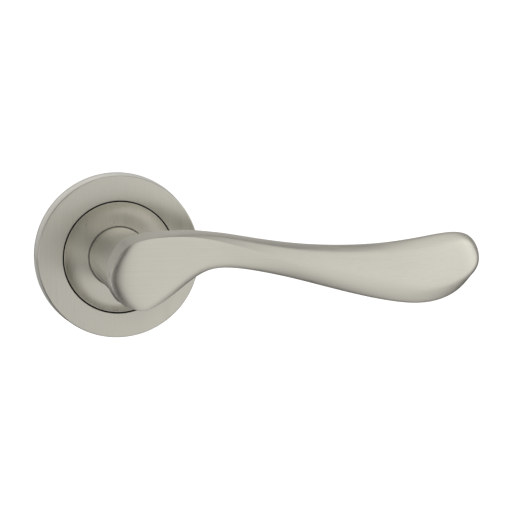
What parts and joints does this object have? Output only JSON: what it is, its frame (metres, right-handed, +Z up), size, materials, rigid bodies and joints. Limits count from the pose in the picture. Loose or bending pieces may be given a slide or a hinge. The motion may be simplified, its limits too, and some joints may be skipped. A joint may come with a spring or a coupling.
{
  "type": "lever door handle on round rose",
  "caption": "Wave-shaped satin-nickel lever door handle on a round sprung rose, with its square spindle and door fixings.",
  "frame": {"origin": "on the spindle's axis at the door's face, which is the back of the rose", "axes": "+X along the lever towards its tip, +Y into the door along the spindle, +Z up"},
  "size_m": [0.1312, 0.1162, 0.052],
  "materials": {
    "satin_nickel": "brushed satin nickel plate",
    "cast_zinc": "as cast",
    "zinc_plated_steel": "bright zinc plate",
    "spring_steel": "dark oiled",
    "white_nylon": "moulded"
  },
  "bodies": {
    "base": {"mounting_plate": "cast_zinc", "bearing_bush": "white_nylon", "return_spring": "spring_steel", "cassette_cover": "zinc_plated_steel", "ring_clip_1": "spring_steel", "ring_clip_2": "spring_steel", "ring_clip_3": "spring_steel", "ring_clip_4": "spring_steel", "through_bolt_1": "zinc_plated_steel", "through_bolt_2": "zinc_plated_steel", "wood_screw_1": "zinc_plated_steel", "wood_screw_2": "zinc_plated_steel"},
    "lever": {"lever_handle": "satin_nickel", "spindle": "zinc_plated_steel", "grub_screw": "spring_steel", "circlip": "spring_steel", "wave_washer": "spring_steel", "cassette_rotor": "zinc_plated_steel"},
    "cover": {"rose_ring": "satin_nickel", "rose_dish": "satin_nickel"}
  },
  "joints": [
    {"name": "lever_turn", "type": "hinge", "parent": "base", "child": "lever", "pos_m": [0, 0, 0], "axis": [0, 1, 0], "range_deg": [0, 50], "stiffness_Nm_per_rad": 0.16, "springref_deg": -68.75, "deforming": ["return_spring"]},
    {"name": "cover_slide", "type": "slide", "parent": "base", "child": "cover", "axis": [0, -1, 0], "range_m": [0, 0.025]}
  ]
}
